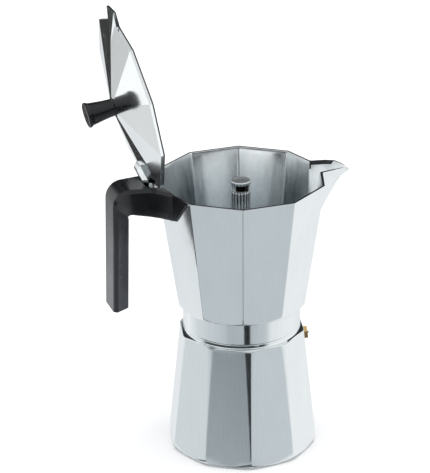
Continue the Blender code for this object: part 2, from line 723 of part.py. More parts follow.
def make_hinge_pin():
    pin = cylinder("hinge_pin", PIN_R, -PIN_HALF, PIN_HALF, (HINGE_X, 0, HINGE_Z), (0, 1, 0), SMALL)
    return finish(pin, "steel")


# ---------------------------------------------------------------- lid and knob

def lid_height(radius):
    """Height of the closed lid's ridge at a distance from the axis."""
    return LID_LOW + LID_SKIRT + LID_RISE * (1 - radius / LID_R)


def lid_body(name, wall):
    """Skirt and low ten-sided pyramid with a flat for the knob; a wall gives the hollow."""
    corner = LID_R - corner_offset(wall)
    seat_r = LID_R * (lid_height(0) - LID_SEAT_Z) / LID_RISE
    low = LID_LOW - (1 * MM if wall else 0)
    levels = ((corner, low), (corner, lid_height(corner) - wall), (seat_r, LID_SEAT_Z - wall))
    rings = []
    for radius, z in levels:
        angles = [i * SIDE_ANGLE for i in range(SIDES)]
        rings.append([(radius * math.cos(a), radius * math.sin(a), z) for a in angles])
    return loft(name, rings)


def beak_cover(name, wall):
    """Roof over the channel of the spout: two planes and a sloping front."""
    low = LID_LOW - (1 * MM if wall else 0)
    ridge_start = 45.5 * MM
    ridge_end = 61.7 * MM - 0.5 * wall
    root_x, root_half = 52.5 * MM, 11.0 * MM - 1.3 * wall
    front_x, front_half = 66.9 * MM - wall, 8.0 * MM - wall
    eave = LID_LOW + LID_SKIRT - wall
    points = [(ridge_start, 0, lid_height(ridge_start) - wall), (ridge_end, 0, lid_height(ridge_end) - wall),
              (ridge_start, 0, low)]
    for side in (-1, 1):
        points += [(root_x, side * root_half, eave), (front_x, side * front_half, eave - 1.1 * MM),
                   (root_x + 2.2 * MM, side * root_half, low), (front_x, side * front_half, low),
                   (ridge_start, side * 5 * MM, low)]
    return hull(name, points)


def lid_tail():
    """Raised lug on the ridge at the back, ending in the eye of the hinge."""
    start = lid_height(45.6 * MM)
    outline = [(-44.4 * MM, start - 0.6 * MM), (-45.6 * MM, start + 1.2 * MM), (-47.0 * MM, start + 2.8 * MM),
               (-48.8 * MM, start + 3.1 * MM), (-59.6 * MM, 207.9 * MM), (-60.9 * MM, 206.4 * MM),
               (-60.9 * MM, 203.2 * MM), (-59.0 * MM, 202.6 * MM), (-57.5 * MM, 204.2 * MM)]
    tail = plate_xz("lid_tail", outline, TAIL_HALF)
    eye = cylinder("lid_eye", EYE_R, -EYE_HALF, EYE_HALF, (HINGE_X, 0, HINGE_Z), (0, 1, 0), 24)
    web = box("eye_web", (HINGE_X, -59.3 * MM), (-EYE_HALF, EYE_HALF), (202.3 * MM, 205.9 * MM))
    return apply_modifiers(join(tail, eye, web))


def make_lid():
    lid = lid_body("lid", 0.0)
    join(lid, beak_cover("beak_cover", 0.0), lid_tail())
    cut(lid, lid_body("lid_hollow", LID_WALL), beak_cover("beak_hollow", LID_WALL))
    cut(lid, cylinder("knob_screw_hole", 2.2 * MM, 205 * MM, 220 * MM))
    cut(lid, cylinder("eye_hole", PIN_R + GAP, -20 * MM, 20 * MM, (HINGE_X, 0, HINGE_Z), (0, 1, 0)))
    return finish(lid, "aluminium", LID_SHARP)


def make_knob():
    """Flared knob with a bevelled top, hollow for its threaded insert."""
    low, high = KNOB_LOW, KNOB_LOW + KNOB_HEIGHT
    flare = []
    for i in range(7):
        t = i / 6
        flare.append((KNOB_BASE_R + (KNOB_TOP_R - 0.9 * MM - KNOB_BASE_R) * t ** 1.5,
                      low + (KNOB_HEIGHT - 3.2 * MM) * t))
    top = [(KNOB_TOP_R, high - 1.1 * MM), (KNOB_TOP_R, high - 0.7 * MM),
           (KNOB_TOP_R - 0.6 * MM, high), (0, high)]
    bore = [(0, low + 9.4 * MM), (3.7 * MM, low + 9.4 * MM), (3.7 * MM, low)]
    return finish(turned("knob", bore + flare + top, 32), "black_plastic")


def make_knob_insert():
    low = KNOB_LOW + 0.3 * MM
    profile = [(3.4 * MM, low + 8.8 * MM), (3.4 * MM, low), (2.1 * MM, low), (2.1 * MM, low + 8.8 * MM)]
    return finish(turned("knob_insert", profile, SMALL), "brass")


def make_knob_screw():
    head_top = lid_height(0) - LID_WALL - 1.9 * MM
    profile = [(0, KNOB_LOW + 8.6 * MM), (1.75 * MM, KNOB_LOW + 8.6 * MM), (1.75 * MM, head_top),
               (3.6 * MM, head_top), (3.6 * MM, head_top - 1.4 * MM), (2.6 * MM, head_top - 2.1 * MM),
               (0, head_top - 2.1 * MM)]
    return finish(turned("knob_screw", profile, SMALL), "steel")


def open_lid(pieces):
    """Hang the lid's pieces on an empty on the hinge axis and swing it open."""
    hinge = bpy.data.objects.new("lid_hinge", None)
    bpy.context.scene.collection.objects.link(hinge)
    hinge.location = (HINGE_X, 0, HINGE_Z)
    bpy.context.view_layer.update()
    for piece in pieces:
        piece.parent = hinge
        piece.matrix_parent_inverse = hinge.matrix_world.inverted()
    hinge.rotation_euler = (0, -LID_OPEN, 0)


def main():
    make_boiler()
    make_valve()
    make_funnel()
    make_funnel_plate()
    make_gasket()
    make_filter_plate()
    make_collector()
    make_column()
    make_column_cap()
    make_handle()
    make_handle_screw()
    make_hinge_pin()
    open_lid([make_lid(), make_knob(), make_knob_insert(), make_knob_screw()])


clear_scene()
MATERIALS = make_materials()
PARTS = make_collection("moka_pot")
CUTTERS = make_collection("cutters")
main()
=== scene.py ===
"""Moka pot with its lid open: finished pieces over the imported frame, materials, studio and camera."""
import json
import math

import bmesh
import bpy
from mathutils import Matrix, Vector

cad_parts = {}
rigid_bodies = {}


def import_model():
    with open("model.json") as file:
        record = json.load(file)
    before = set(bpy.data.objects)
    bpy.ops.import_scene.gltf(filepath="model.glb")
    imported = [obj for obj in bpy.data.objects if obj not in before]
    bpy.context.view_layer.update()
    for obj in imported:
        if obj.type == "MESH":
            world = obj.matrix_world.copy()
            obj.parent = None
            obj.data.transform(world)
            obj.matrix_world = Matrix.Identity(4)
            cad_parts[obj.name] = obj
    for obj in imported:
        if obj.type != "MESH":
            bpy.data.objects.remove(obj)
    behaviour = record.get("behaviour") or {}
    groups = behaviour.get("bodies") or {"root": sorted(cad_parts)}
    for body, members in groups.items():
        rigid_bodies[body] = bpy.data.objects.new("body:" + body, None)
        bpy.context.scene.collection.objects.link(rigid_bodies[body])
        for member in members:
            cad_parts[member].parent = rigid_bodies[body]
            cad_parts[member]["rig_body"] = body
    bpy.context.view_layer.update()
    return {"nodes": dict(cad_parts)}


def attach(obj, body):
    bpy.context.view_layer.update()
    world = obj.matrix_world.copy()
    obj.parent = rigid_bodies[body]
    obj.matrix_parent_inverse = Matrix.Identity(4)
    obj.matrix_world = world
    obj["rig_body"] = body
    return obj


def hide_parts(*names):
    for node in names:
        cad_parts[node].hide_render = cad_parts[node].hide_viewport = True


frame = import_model()

MM = 0.001
SIDES = 10
SIDE_ANGLE = 2 * math.pi / SIDES
FLAT_RATIO = math.cos(SIDE_ANGLE / 2)
TAN_SIDE = math.tan(SIDE_ANGLE / 2)
LID_OPEN = math.radians(100.9)
HINGE = Vector((-64.7 * MM, 0, 202.9 * MM))
RIBS = 18                           # on the column
SPOUT_ROOT = 57.5 * MM              # where the spout's far side leaves the cup
GRIP_BACK = 94.8 * MM               # distance of the grip's outer face from the axis
THREAD_PITCH = 3.0 * MM
WALL = 1.8 * MM                     # collector


# ---------------------------------------------------------------- mesh helpers

def add_mesh(name, bm, material, body, nodes):
    """A smooth-shaded piece on a body, standing for CAD nodes."""
    bmesh.ops.recalc_face_normals(bm, faces=bm.faces)
    mesh = bpy.data.meshes.new(name)
    bm.to_mesh(mesh)
    bm.free()
    mesh.shade_smooth()
    obj = bpy.data.objects.new(name, mesh)
    bpy.context.scene.collection.objects.link(obj)
    mesh.materials.append(material)
    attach(obj, body)
    if nodes:
        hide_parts(*nodes)
    return obj


def skin(rings, closed=False):
    """Quads through rings of equal length; the ends meet each other or are capped."""
    bm = bmesh.new()
    rows = [[bm.verts.new(point) for point in ring] for ring in rings]
    count = len(rows[0])
    pairs = list(zip(rows, rows[1:]))
    if closed:
        pairs.append((rows[-1], rows[0]))
    for low, high in pairs:
        for i in range(count):
            j = (i + 1) % count
            bm.faces.new((low[i], low[j], high[j], high[i]))
    if not closed:
        bm.faces.new(rows[0])
        bm.faces.new(rows[-1])
    return bm


def turned(profile, steps, closed=False):
    """Rings of a turned shape from (radius, height) points."""
    rings = []
    for radius, height in profile:
        ring = []
        for i in range(steps):
            angle = 2 * math.pi * i / steps
            ring.append((radius * math.cos(angle), radius * math.sin(angle), height))
        rings.append(ring)
    return skin(rings, closed)


def rounded(corners, between=5):
    """Closed outline from (x, y, radius) corners; a radius of 0 keeps the bare point."""
    out = []
    count = len(corners)
    starts = {}
    for i, (x, y, radius) in enumerate(corners):
        starts[i] = len(out)
        if radius == 0:
            out.append(Vector((x, y)))
            continue
        point = Vector((x, y))
        before = Vector(corners[i - 1][:2]) - point
        after = Vector(corners[(i + 1) % count][:2]) - point
        half = max(0.05, before.angle(after) / 2)
        reach = min(radius / math.tan(half), 0.3 * before.length, 0.3 * after.length)
        support = min(0.9 * MM, 0.18 * before.length, 0.18 * after.length)
        first, last = before.normalized(), after.normalized()
        out.append(point + first * (reach + support))
        for t in (0, 0.33, 0.67, 1):
            out.append(point + first * reach * (1 - t) ** 2 + last * reach * t ** 2)
        out.append(point + last * (reach + support))
    filled = []
    for i, corner in enumerate(corners):
        stop = starts[i + 1] if i + 1 < count else len(out)
        filled += out[starts[i]:stop]
        following = (i + 1) % count
        if corner[2] and corners[following][2]:
            begin, end = out[stop - 1], out[starts[following]]
            filled += [begin.lerp(end, (k + 1) / (between + 1)) for k in range(between)]
    return filled


def smooth_min(a, b, width):
    """Smaller of two lengths, with the change between them rounded."""
    share = max(0.0, min(1.0, 0.5 + 0.5 * (b - a) / width))
    return b * (1 - share) + a * share - width * share * (1 - share)


def pulled_in(outline, limit, z, width=0.5 * MM):
    """A level of a ten-sided body, held inside a turned envelope."""
    ring = []
    for point in outline:
        radius = point.length
        scale = smooth_min(radius, limit, width) / radius
        ring.append((point.x * scale, point.y * scale, z))
    return ring


def on_circle(outline, radius, z):
    """A round ring with as many points as an outline, in the same directions."""
    return [(p.x * radius / p.length, p.y * radius / p.length, z) for p in outline]


def refined(node, material, width, angle=24, segments=2):
    """A copy of a CAD piece with clean faces and rounded edges, in its place."""
    source = frame["nodes"][node]
    bm = bmesh.new()
    bm.from_mesh(source.data)
    bmesh.ops.remove_doubles(bm, verts=bm.verts, dist=0.004 * MM)
    bmesh.ops.dissolve_limit(bm, angle_limit=math.radians(0.6), verts=bm.verts, edges=bm.edges)
    obj = add_mesh(node + "_finished", bm, material, source["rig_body"], [node])
    bevel = obj.modifiers.new("edges", "BEVEL")
    bevel.width = width
    bevel.segments = segments
    bevel.limit_method = "ANGLE"
    bevel.angle_limit = math.radians(angle)
    bevel.use_clamp_overlap = True
    bevel.miter_outer = "MITER_ARC"
    bevel.harden_normals = False
    shade = obj.modifiers.new("shading", "WEIGHTED_NORMAL")
    shade.keep_sharp = False
    shade.weight = 50
    return obj


# ---------------------------------------------------------------- materials

class Nodes:
    """Short way to write a material's node tree."""

    def __init__(self, tree):
        self.tree = tree

    def add(self, kind, inputs=None, **settings):
        node = self.tree.nodes.new(kind)
        for key, value in settings.items():
            setattr(node, key, value)
        for key, value in (inputs or {}).items():
            if isinstance(value, bpy.types.NodeSocket):
                self.tree.links.new(value, node.inputs[key])
            else:
                node.inputs[key].default_value = value
        return node

    def link(self, a, b):
        self.tree.links.new(a, b)

    def noise(self, vector, scale, detail=3.0, roughness=0.55, stretch=(1, 1, 1)):
        mapped = self.add("ShaderNodeMapping", {"Vector": vector, "Scale": stretch}).outputs[0]
        settings = {"Vector": mapped, "Scale": scale, "Detail": detail, "Roughness": roughness}
        return self.add("ShaderNodeTexNoise", settings).outputs["Fac"]

    def spread(self, value, low, high, out_low, out_high):
        """A value's range from low to high, mapped to another range and held inside it."""
        settings = {0: value, 1: low, 2: high, 3: out_low, 4: out_high}
        return self.add("ShaderNodeMapRange", settings).outputs[0]

    def math(self, operation, a, b=0.0):
        return self.add("ShaderNodeMath", {0: a, 1: b}, operation=operation).outputs[0]

    def blend(self, factor, a, b):
        node = self.add("ShaderNodeMix", {"Factor": factor}, data_type="RGBA")
        for socket, value in ((node.inputs[6], a), (node.inputs[7], b)):
            if isinstance(value, bpy.types.NodeSocket):
                self.link(value, socket)
            else:
                socket.default_value = (*value, 1)
        return node.outputs[2]


def new_material(name, metallic, specular=0.5):
    """Material, its nodes, its shader and the piece's own coordinates."""
    material = bpy.data.materials.new(name)
    material.use_nodes = True
    nodes = Nodes(material.node_tree)
    shader = material.node_tree.nodes["Principled BSDF"]
    shader.inputs["Metallic"].default_value = metallic
    shader.inputs["Specular IOR Level"].default_value = specular
    place = nodes.add("ShaderNodeTexCoord").outputs["Object"]
    return material, nodes, shader, place


def window(nodes, value, low, high, soft):
    """1 between two limits and 0 outside, with soft edges."""
    rise = nodes.spread(value, low - soft, low + soft, 0, 1)
    fall = nodes.spread(value, high - soft, high + soft, 1, 0)
    return nodes.math("MULTIPLY", rise, fall)


def bump(nodes, shader, height, strength, distance):
    node = nodes.add("ShaderNodeBump", {"Height": height, "Strength": strength, "Distance": distance})
    nodes.link(node.outputs["Normal"], shader.inputs["Normal"])


def polished_metal(name, light, dark, rough, streak, wave):
    """Buffed metal: fine upright streaks, soft casting waves and a few dull patches."""
    material, nodes, shader, place = new_material(name, 1.0)
    fine = nodes.noise(place, 900, 4, 0.6, (1, 1, 0.035))
    soft = nodes.noise(place, 45, 3, 0.5, (1, 1, 0.5))
    patch = nodes.noise(place, 22, 4, 0.6)
    streaks = nodes.math("MULTIPLY", fine, streak)
    grain = nodes.math("ADD", streaks, nodes.math("MULTIPLY", soft, 1 - streak))
    nodes.link(nodes.blend(nodes.spread(grain, 0.35, 0.65, 0, 1), dark, light), shader.inputs["Base Color"])
    dull = nodes.spread(fine, 0.3, 0.7, -0.03, 0.03)
    dull = nodes.math("ADD", dull, nodes.spread(patch, 0.4, 0.75, 0.0, 0.06))
    nodes.link(nodes.math("ADD", dull, rough), shader.inputs["Roughness"])
    height = nodes.math("ADD", nodes.math("MULTIPLY", fine, 0.12), nodes.math("MULTIPLY", soft, wave))
    bump(nodes, shader, height, 0.25, 0.0004)
    return material


def turned_metal(name, light, dark, rough, spacing=2600, shift=(0, 0, 0)):
    """Machined metal with fine rings about the upright axis."""
    material, nodes, shader, place = new_material(name, 1.0)
    centred = nodes.add("ShaderNodeVectorMath", {0: place, 1: shift}, operation="SUBTRACT").outputs[0]
    flat = nodes.add("ShaderNodeVectorMath", {0: centred, 1: (1, 1, 0)}, operation="MULTIPLY").outputs[0]
    radius = nodes.add("ShaderNodeVectorMath", {0: flat}, operation="LENGTH").outputs["Value"]
    along = nodes.math("MULTIPLY", radius, spacing)
    ring = nodes.add("ShaderNodeTexNoise", {"W": along, "Scale": 1.0, "Detail": 2.0},
                     noise_dimensions="1D").outputs["Fac"]
    patch = nodes.noise(place, 120, 4, 0.6)
    nodes.link(nodes.blend(nodes.spread(ring, 0.3, 0.7, 0, 1), dark, light), shader.inputs["Base Color"])
    dull = nodes.spread(patch, 0.35, 0.7, -0.03, 0.09)
    nodes.link(nodes.math("ADD", dull, rough), shader.inputs["Roughness"])
    bump(nodes, shader, ring, 0.3, 0.0001)
    return material


def moulded_plastic(name, light, dark, rough):
    """Moulded plastic: fine grain, slight clouding and worn, duller spots."""
    material, nodes, shader, place = new_material(name, 0.0)
    grain = nodes.noise(place, 2600, 2, 0.5)
    cloud = nodes.noise(place, 60, 4, 0.6)
    scuff = nodes.noise(place, 380, 5, 0.7, (1, 0.25, 1))
    nodes.link(nodes.blend(nodes.spread(cloud, 0.35, 0.7, 0, 1), dark, light), shader.inputs["Base Color"])
    dull = nodes.spread(cloud, 0.35, 0.7, -0.04, 0.05)
    dull = nodes.math("ADD", dull, nodes.spread(scuff, 0.55, 0.75, 0, 0.08))
    nodes.link(nodes.math("ADD", dull, rough), shader.inputs["Roughness"])
    bump(nodes, shader, grain, 0.12, 0.00012)
    return material


def plastic_with_painted_grip_light(name, light, dark, rough):
    """Moulded plastic with painted light on the grip, coloured lighter grey, but for a strip along its back
    edge kept dark as painted shade of a groove.
    """
    material = moulded_plastic(name, light, dark, rough)
    nodes = Nodes(material.node_tree)
    shader = material.node_tree.nodes["Principled BSDF"]
    place = nodes.add("ShaderNodeTexCoord").outputs["Object"]
    axis = nodes.add("ShaderNodeSeparateXYZ", {0: place})
    uneven = nodes.spread(nodes.noise(place, 70, 3), 0.3, 0.7, -0.006, 0.006)
    height = nodes.math("ADD", axis.outputs[2], uneven)
    # painted light: the grip below the arm is coloured lighter grey
    grip = nodes.spread(height, 0.168, 0.192, 1.0, 0.0)
    inset = nodes.math("ADD", axis.outputs[0], GRIP_BACK)
    inset = nodes.math("ADD", inset, nodes.spread(axis.outputs[2], 0.118, 0.184, 1.7 * MM, 0.0))
    # painted shade: a strip just in from the grip's back face stays dark, as a groove in shade would
    strip = window(nodes, inset, 0.7 * MM, 3.4 * MM, 0.15 * MM)
    grip = nodes.math("SUBTRACT", grip, nodes.math("MULTIPLY", strip, 0.9))
    source = shader.inputs["Base Color"].links[0].from_socket
    nodes.link(nodes.blend(grip, source, (0.050, 0.052, 0.062)), shader.inputs["Base Color"])
    return material


def soft_rubber(name):
    material, nodes, shader, place = new_material(name, 0.0, 0.4)
    speck = nodes.noise(place, 1500, 3, 0.6)
    cloud = nodes.noise(place, 90, 3, 0.5)
    nodes.link(nodes.blend(cloud, (0.70, 0.67, 0.58), (0.82, 0.80, 0.74)), shader.inputs["Base Color"])
    nodes.link(nodes.spread(speck, 0.3, 0.7, 0.5, 0.7), shader.inputs["Roughness"])
    bump(nodes, shader, speck, 0.2, 0.0001)
    return material


def inner_metal(name):
    """Satin inside of the collector, its colour lighter towards the rim."""
    material, nodes, shader, place = new_material(name, 1.0)
    streak = nodes.noise(place, 260, 3, 0.55, (1, 1, 0.04))
    fine = nodes.noise(place, 1400, 3, 0.6, (1, 1, 0.2))
    patch = nodes.noise(place, 35, 4, 0.6)
    height = nodes.add("ShaderNodeSeparateXYZ", {0: place}).outputs[2]
    lighter_upward = nodes.spread(height, 0.155, 0.198, 0.0, 0.7)
    shade = nodes.math("ADD", nodes.math("MULTIPLY", streak, 0.35), nodes.math("MULTIPLY", patch, 0.65))
    shade = nodes.math("ADD", nodes.spread(shade, 0.36, 0.64, 0, 0.45), lighter_upward)
    nodes.link(nodes.blend(shade, (0.62, 0.665, 0.69), (0.92, 0.94, 0.945)), shader.inputs["Base Color"])
    nodes.link(nodes.spread(streak, 0.3, 0.7, 0.12, 0.18), shader.inputs["Roughness"])
    relief = nodes.math("ADD", nodes.math("MULTIPLY", streak, 0.12), nodes.math("MULTIPLY", fine, 0.06))
    bump(nodes, shader, relief, 0.15, 0.0003)
    return material


def ribbed_metal(name):
    """Column metal: bright ribs, with painted shade darkening the flutes between them."""
    material, nodes, shader, place = new_material(name, 1.0)
    axis = nodes.add("ShaderNodeSeparateXYZ", {0: place})
    angle = nodes.math("ARCTAN2", axis.outputs[1], axis.outputs[0])
    crest = nodes.math("ABSOLUTE", nodes.math("COSINE", nodes.math("MULTIPLY", angle, RIBS / 2)))
    fine = nodes.noise(place, 900, 4, 0.6, (1, 1, 0.05))
    crest = nodes.spread(crest, 0.22, 0.72, 0, 1)
    crest = nodes.math("ADD", crest, nodes.spread(fine, 0.3, 0.7, -0.12, 0.12))
    # painted shade: the flutes between the ribs are coloured dark, the ribs keep the metal's own colour
    nodes.link(nodes.blend(crest, (0.20, 0.21, 0.22), (0.92, 0.935, 0.94)), shader.inputs["Base Color"])
    nodes.link(nodes.spread(fine, 0.3, 0.7, 0.12, 0.2), shader.inputs["Roughness"])
    bump(nodes, shader, fine, 0.1, 0.0002)
    return material


def metal_with_painted_dark_edge(name, light, dark, rough, axis, level):
    """Polished metal whose cut edge, up to a level along an axis, is dull and coloured near black, a painted
    dark reflection.
    """
    material = polished_metal(name, light, dark, rough, 0.5, 0.15)
    nodes = Nodes(material.node_tree)
    shader = material.node_tree.nodes["Principled BSDF"]
    place = nodes.add("ShaderNodeTexCoord").outputs["Object"]
    height = nodes.add("ShaderNodeVectorMath", {0: place, 1: axis}, operation="DOT_PRODUCT")
    height = height.outputs["Value"]
    edge = nodes.spread(height, level, level + 0.1 * MM, 1.0, 0.0)
    scuff = nodes.spread(nodes.noise(place, 700, 2, 0.4, (1, 1, 0.3)), 0.71, 0.75, 0.0, 0.6)
    worn = nodes.math("MAXIMUM", edge, scuff)
    # the edge's near-black colour is a painted dark reflection; the scuffs change only roughness
    changes = (("Base Color", edge, (0.10, 0.10, 0.105)), ("Roughness", worn, (0.45, 0.45, 0.45)))
    for socket, factor, value in changes:
        source = shader.inputs[socket].links[0].from_socket
        nodes.link(nodes.blend(factor, source, value), shader.inputs[socket])
    return material


ALUMINIUM = polished_metal("polished_aluminium", (0.86, 0.896, 0.905), (0.81, 0.845, 0.855), 0.09, 0.5, 0.2)
INSIDE = inner_metal("inside_aluminium")
# dull cut edge of the collector's rim, coloured near black as a painted dark reflection; also painted shade
# on the spout's far flank
DULL_EDGE_AND_PAINTED_SHADE = polished_metal("cut_edge_and_painted_shade", (0.075, 0.075, 0.08), (0.045, 0.045, 0.048), 0.3, 0.4, 0.2)
RIBBED = ribbed_metal("ribbed_aluminium")
TURNED = turned_metal("spun_aluminium", (0.78, 0.79, 0.80), (0.62, 0.63, 0.64), 0.26)
# painted shade: near-black colour for the hollow inside the column's cap
PAINTED_HOLLOW_SHADE = polished_metal("painted_shade_hollow", (0.022, 0.022, 0.023), (0.01, 0.01, 0.011), 0.5, 0.4, 0.4)
DULL = polished_metal("dull_aluminium", (0.42, 0.43, 0.435), (0.34, 0.35, 0.355), 0.6, 0.5, 0.2)
PLASTIC = moulded_plastic("black_plastic_grain", (0.0068, 0.0066, 0.0078), (0.004, 0.004, 0.0048), 0.22)
GRIP = plastic_with_painted_grip_light("painted_light_grip", (0.0085, 0.0083, 0.0098), (0.005, 0.005, 0.006), 0.22)
BRASS = polished_metal("brass_finish", (0.80, 0.55, 0.24), (0.62, 0.40, 0.15), 0.22, 0.4, 0.3)
STEEL = polished_metal("steel_finish", (0.66, 0.66, 0.67), (0.52, 0.52, 0.53), 0.22, 0.4, 0.3)
RUBBER = soft_rubber("ivory_rubber")


# ---------------------------------------------------------------- boiler

BOILER_TURN = math.radians(5.35)
BASE_Z = 6.9 * MM
BASE_R = 53.3 * MM                  # over the corners, as all radii of flats here
SHOULDER_Z = 87.8 * MM
SHOULDER_R = 45.0 * MM
SHOULDER_SLOPE = 0.4
FOOT_ROUND = 6 * MM
BOILER_WALL = 3.6 * MM


def boiler_radius(z):
    return BASE_R + (SHOULDER_R - BASE_R) * (z - BASE_Z) / (SHOULDER_Z - BASE_Z)


def decagon(radius, turn, edge):
    """Ten-sided outline with rounded corners."""
    corners = []
    for i in range(SIDES):
        angle = turn + i * SIDE_ANGLE
        corners.append((radius * math.cos(angle), radius * math.sin(angle), edge))
    return rounded(corners)


def boiler_edge(z):
    """The polishing rounds the ridges more towards the shoulder."""
    return 0.6 * MM + 7.6 * MM * max(0.0, z / SHOULDER_Z) ** 1.5


def boiler_rings():
    """Levels from the middle of the underside, up the outside, and down the inside to the floor."""
    base = decagon(boiler_radius(0), BOILER_TURN, boiler_edge(0))
    rings = [on_circle(base, r * MM, 0) for r in (2, 20, 40, 45.5, 46.8)]
    for i in range(1, 13):
        angle = math.radians(-90 + 90 * i / 12)
        z = FOOT_ROUND * (1 + math.sin(angle))
        outline = decagon(boiler_radius(z), BOILER_TURN, boiler_edge(z))
        rings.append(pulled_in(outline, 47.45 * MM + FOOT_ROUND * math.cos(angle), z))
    for z in (7.5, 9, 12, 20, 28, 36, 44, 52, 60, 68, 75, 81, 86):
        outline = decagon(boiler_radius(z * MM), BOILER_TURN, boiler_edge(z * MM))
        rings.append(pulled_in(outline, 56 * MM, z * MM))
    top = decagon(SHOULDER_R, BOILER_TURN, boiler_edge(SHOULDER_Z))
    for inward, drop in ((0, 0.55), (0.02, 0.22), (0.10, 0.06), (0.28, 0.01), (0.6, 0.0)):
        ring = []
        for p in top:
            radius = p.length - inward * MM
            height = SHOULDER_Z + SHOULDER_SLOPE * (SHOULDER_R - radius) - drop * MM
            ring.append((p.x * radius / p.length, p.y * radius / p.length, height))
        rings.append(ring)
    neck = [(41.55, 89.2), (41.25, 89.36), (41.12, 89.6), (41.05, 89.9), (40.78, 91.2), (40.74, 91.45),
            (40.6, 91.68), (40.2, 91.8), (35.0, 91.8), (34.7, 91.95), (34.6, 92.3), (34.6, 102.5),
            (34.45, 102.85), (34.1, 103.0), (32.0, 103.0), (31.65, 102.85), (31.5, 102.5), (31.5, 89.2),
            (31.9, 88.2)]
    rings += [on_circle(top, r * MM, z * MM) for r, z in neck]
    wall_r = FLAT_RATIO * boiler_radius(84 * MM) - BOILER_WALL
    floor_r = FLAT_RATIO * boiler_radius(9 * MM) - BOILER_WALL
    tank = [(wall_r - 0.5 * MM, 82.6), (wall_r, 81.6), (floor_r, 10), (floor_r - 0.7 * MM, 7.6),
            (floor_r - 2.6 * MM, 5), (floor_r - 5 * MM, 4), (20 * MM, 4), (2 * MM, 4)]
    return rings + [on_circle(top, r, z * MM) for r, z in tank]


def thread_bm(root_r, crest_r, start_z, turns):
    """Rounded trapezoid ridge of a screw thread that runs out at both ends."""
    per_turn, fade_steps = 64, 10
    section = ((0, -0.85), (0.7, -0.52), (1, -0.3), (1, 0.3), (0.7, 0.52), (0, 0.85))
    depth = crest_r - root_r
    bm = bmesh.new()
    steps = int(per_turn * turns)
    rows = []
    for i in range(steps + 1):
        angle = 2 * math.pi * i / per_turn
        fade = min(1.0, i / fade_steps, (steps - i) / fade_steps)
        z = start_z + THREAD_PITCH * i / per_turn
        row = []
        for out, up in section:
            r = root_r + depth * out * (0.3 + 0.7 * fade)
            row.append(bm.verts.new((r * math.cos(angle), r * math.sin(angle), z + up * MM)))
        rows.append(row)
    for a, b in zip(rows, rows[1:]):
        for i in range(len(section)):
            j = (i + 1) % len(section)
            bm.faces.new((a[i], a[j], b[j], b[i]))
    bm.faces.new(rows[0])
    bm.faces.new(rows[-1])
    return bm


def valve_place():
    """Where the safety valve's axis meets the flat of the boiler, and the flat's normal there."""
    z = 79.5 * MM
    lean = math.atan2(FLAT_RATIO * (BASE_R - SHOULDER_R), SHOULDER_Z - BASE_Z)
    angle = BOILER_TURN - SIDE_ANGLE / 2
    flat = Vector((math.cos(angle), math.sin(angle), 0))
    center = flat * FLAT_RATIO * boiler_radius(z) + Vector((0, 0, z))
    return center, flat * math.cos(lean) + Vector((0, 0, math.sin(lean)))


def apply_cut(obj, cutter):
    """Cut one mesh with another and discard the cutter."""
    modifier = obj.modifiers.new("cut", "BOOLEAN")
    modifier.operation = "DIFFERENCE"
    modifier.solver = "EXACT"
    modifier.object = cutter
    bpy.context.view_layer.objects.active = obj
    bpy.ops.object.modifier_apply(modifier="cut")
    bpy.data.objects.remove(cutter, do_unlink=True)


def make_boiler():
    """Boiler with the hole for its safety valve, and its thread."""
    boiler = add_mesh("boiler_shell", skin(boiler_rings()), ALUMINIUM, "boiler_body",
                      ["boiler"])
    center, normal = valve_place()
    bpy.ops.mesh.primitive_cylinder_add(
        vertices=32, radius=3.7 * MM, depth=14 * MM, location=center - normal * 3 * MM,
        rotation=normal.to_track_quat("Z", "Y").to_euler())
    apply_cut(boiler, bpy.context.object)
    add_mesh("boiler_thread", thread_bm(34.1 * MM, 36.0 * MM, 94.6 * MM, 2.25), ALUMINIUM,
             "boiler_body", ["boiler"])


# ---------------------------------------------------------------- collector

FLOOR_Z = 113.4 * MM
RIM_Z = 201.3 * MM
BEAK_LOW = 151.0 * MM
CHANNEL_LOW = 158.0 * MM
BEAK_WALL = 1.7 * MM
HEEL_R = 5 * MM                     # rounding between collar and cup


def facet_radius(z):
    """Corner radius of the ten-sided cup, from its foot to its rim."""
    foot_z, foot_r, rim_r = 111.9 * MM, 46.5 * MM, 60.0 * MM
    return foot_r + (rim_r - foot_r) * (z - foot_z) / (RIM_Z - foot_z)


def keel_x(z):
    """How far the spout's lower edge stands out at a height."""
    tip = 195.5 * MM
    up = max(0.0, (z - BEAK_LOW) / (tip - BEAK_LOW))
    hook = max(0.0, (z - tip + 5.5 * MM) / (5.5 * MM))
    hook = min(hook, 1.0) ** 3 + max(0.0, hook - 1.0)
    return facet_radius(z) + 17.5 * MM * up ** 1.38 + 4.1 * MM * hook


def rim_height(x):
    """Height of the rim, which droops towards the lip of the spout."""
    start, radius = 69.0 * MM, 14.7 * MM
    if x <= start:
        return RIM_Z
    return RIM_Z - radius + math.sqrt(max(0.0, radius ** 2 - min(x - start, 0.94 * radius) ** 2))


BOW = [0.14, 0.3, 0.46, 0.62, 0.78]


def spout_side(root, bend, nose, half):
    """Points along one bowed side of the spout, nose first."""
    side = []
    for t in BOW:
        x = nose * (1 - t) ** 2 + bend * 2 * t * (1 - t) + root * t ** 2
        y = 0.62 * half * 2 * t * (1 - t) + half * t ** 2
        side.append((x, y))
    return side


def outer_level(z):
    """Outline of the collector's outside at a height, spout and all."""
    radius = facet_radius(z)
    up = max(0.0, (z - BEAK_LOW) / (RIM_Z - BEAK_LOW))
    half = 0.55 * MM + 11.65 * MM * up ** 0.85
    nose = max(keel_x(z) - 0.12 * MM, radius - 0.1 * MM)
    root = radius - half * TAN_SIDE
    bend = root + 0.78 * (nose - root)
    side = spout_side(root, bend, nose, half)
    corners = [(nose, 0, 0.7 * MM)] + [(x, y, 0) for x, y in side] + [(root, half, 1.6 * MM)]
    for i in range(1, SIDES):
        angle = i * SIDE_ANGLE
        corners.append((radius * math.cos(angle), radius * math.sin(angle), 0.5 * MM))
    corners += [(root, -half, 1.6 * MM)] + [(x, -y, 0) for x, y in reversed(side)]
    return rounded(corners)


